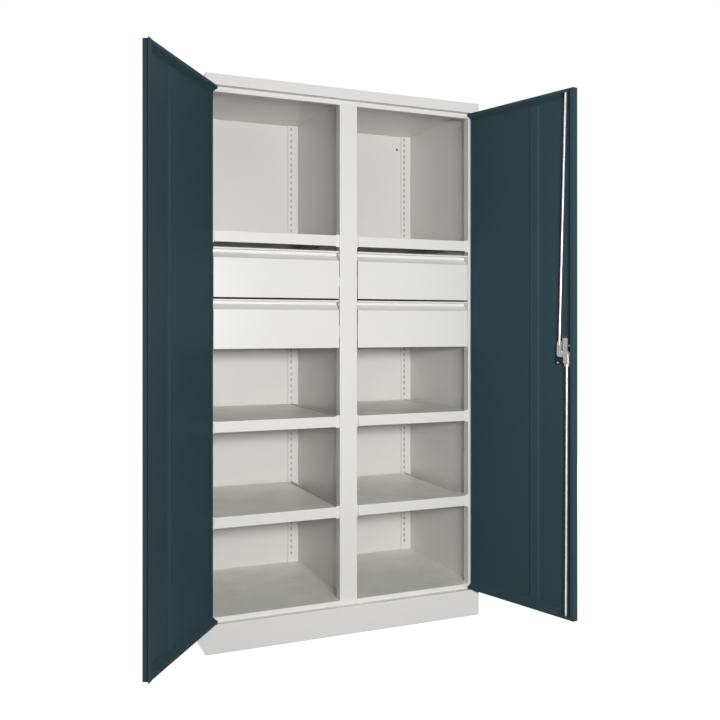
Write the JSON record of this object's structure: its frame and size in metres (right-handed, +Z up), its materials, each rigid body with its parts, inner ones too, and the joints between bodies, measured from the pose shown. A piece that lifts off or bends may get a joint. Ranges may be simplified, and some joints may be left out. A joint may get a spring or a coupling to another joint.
{
  "type": "storage cabinet",
  "caption": "Tall steel storage cabinet on a plinth, with hinged doors, a partition, shelves on slotted uprights, drawers with grip channels and a rod lock turned by a grip.",
  "frame": {"origin": "middle of the footprint, on the floor, at the underside of the plinth brace", "axes": "+Z up, +X to the right of someone who faces the cabinet, -Y out of its front"},
  "size_m": [1.4363, 1.1068, 1.95],
  "materials": {
    "carcass_paint": "light grey powder coat, satin, with a fine grain",
    "door_paint": "dark petrol blue powder coat, satin, with a fine grain",
    "zinc_steel": "bright zinc plate",
    "runner_steel": "dull zinc plate",
    "black_plastic": "black moulded plastic with a fine texture"
  },
  "bodies": {
    "carcass": {"plinth_front": "carcass_paint", "plinth_brace": "carcass_paint", "floor_panel": "carcass_paint", "side_panel_left": "carcass_paint", "side_panel_right": "carcass_paint", "back_panel": "carcass_paint", "top_panel": "carcass_paint", "ceiling_panel": "carcass_paint", "head_rail": "carcass_paint", "centre_post": "carcass_paint", "partition": "carcass_paint", "upright_left_outer": "carcass_paint", "upright_left_inner": "carcass_paint", "upright_right_inner": "carcass_paint", "upright_right_outer": "carcass_paint", "shelf_left_upper": "carcass_paint", "shelf_left_middle": "carcass_paint", "shelf_left_lower": "carcass_paint", "shelf_right_upper": "carcass_paint", "shelf_right_middle": "carcass_paint", "shelf_right_lower": "carcass_paint", "shelf_rails_left_upper": "carcass_paint", "shelf_rails_left_middle": "carcass_paint", "shelf_rails_left_lower": "carcass_paint", "shelf_rails_right_upper": "carcass_paint", "shelf_rails_right_middle": "carcass_paint", "shelf_rails_right_lower": "carcass_paint", "runners_left_upper": "runner_steel", "runners_left_lower": "runner_steel", "runners_right_upper": "runner_steel", "runners_right_lower": "runner_steel", "hinge_pins_left": "zinc_steel", "hinge_pins_right": "zinc_steel"},
    "left_door": {"door_left_panel": "door_paint", "door_left_stiffener": "door_paint", "door_left_stop_strip": "door_paint"},
    "right_door": {"door_right_panel": "door_paint", "door_right_stiffener": "door_paint", "lock_case": "black_plastic", "lock_rosette": "black_plastic"},
    "handle": {"lock_grip": "black_plastic", "lock_cam": "zinc_steel"},
    "plug": {"lock_plug": "zinc_steel"},
    "rod_upper": {"lock_rod_upper": "zinc_steel"},
    "rod_lower": {"lock_rod_lower": "zinc_steel"},
    "drawer_left_upper": {"drawer_left_upper_front": "carcass_paint", "drawer_left_upper_box": "carcass_paint", "drawer_left_upper_slides": "runner_steel"},
    "drawer_left_lower": {"drawer_left_lower_front": "carcass_paint", "drawer_left_lower_box": "carcass_paint", "drawer_left_lower_slides": "runner_steel"},
    "drawer_right_upper": {"drawer_right_upper_front": "carcass_paint", "drawer_right_upper_box": "carcass_paint", "drawer_right_upper_slides": "runner_steel"},
    "drawer_right_lower": {"drawer_right_lower_front": "carcass_paint", "drawer_right_lower_box": "carcass_paint", "drawer_right_lower_slides": "runner_steel"}
  },
  "joints": [
    {"name": "left_door_hinge", "type": "hinge", "parent": "carcass", "child": "left_door", "pos_m": [-0.4995, -0.3095, 0], "axis": [0, 0, -1], "range_deg": [-124.1, 3.9]},
    {"name": "right_door_hinge", "type": "hinge", "parent": "carcass", "child": "right_door", "pos_m": [0.4995, -0.3095, 0], "axis": [0, 0, 1], "range_deg": [-106, 22]},
    {"name": "grip_turn", "type": "hinge", "parent": "right_door", "child": "handle", "pos_m": [0.62813, -0.73815, 1.005], "axis": [0.9613, 0.2756, 0], "range_deg": [0, 90]},
    {"name": "plug_turn", "type": "hinge", "parent": "handle", "child": "plug", "pos_m": [0.64736, -0.73264, 1.005], "axis": [0.9613, 0.2756, 0], "range_deg": [0, 90]},
    {"name": "rod_upper_pivot", "type": "hinge", "parent": "handle", "child": "rod_upper", "pos_m": [0.60807, -0.72622, 1.005], "axis": [0.9613, 0.2756, 0], "range_deg": [-91.5, 0]},
    {"name": "rod_lower_pivot", "type": "hinge", "parent": "handle", "child": "rod_lower", "pos_m": [0.61744, -0.7589, 1.005], "axis": [0.9613, 0.2756, 0], "range_deg": [-91.5, 0]},
    {"name": "drawer_left_upper_slide", "type": "slide", "parent": "carcass", "child": "drawer_left_upper", "axis": [0, -1, 0], "range_m": [0, 0.45]},
    {"name": "drawer_left_lower_slide", "type": "slide", "parent": "carcass", "child": "drawer_left_lower", "axis": [0, -1, 0], "range_m": [0, 0.45]},
    {"name": "drawer_right_upper_slide", "type": "slide", "parent": "carcass", "child": "drawer_right_upper", "axis": [0, -1, 0], "range_m": [0, 0.45]},
    {"name": "drawer_right_lower_slide", "type": "slide", "parent": "carcass", "child": "drawer_right_lower", "axis": [0, -1, 0], "range_m": [0, 0.45]}
  ],
  "couplings": [
    {"joint": "rod_upper_pivot", "follows": "grip_turn", "ratio": -1.0119},
    {"joint": "rod_lower_pivot", "follows": "grip_turn", "ratio": -1.0119}
  ]
}
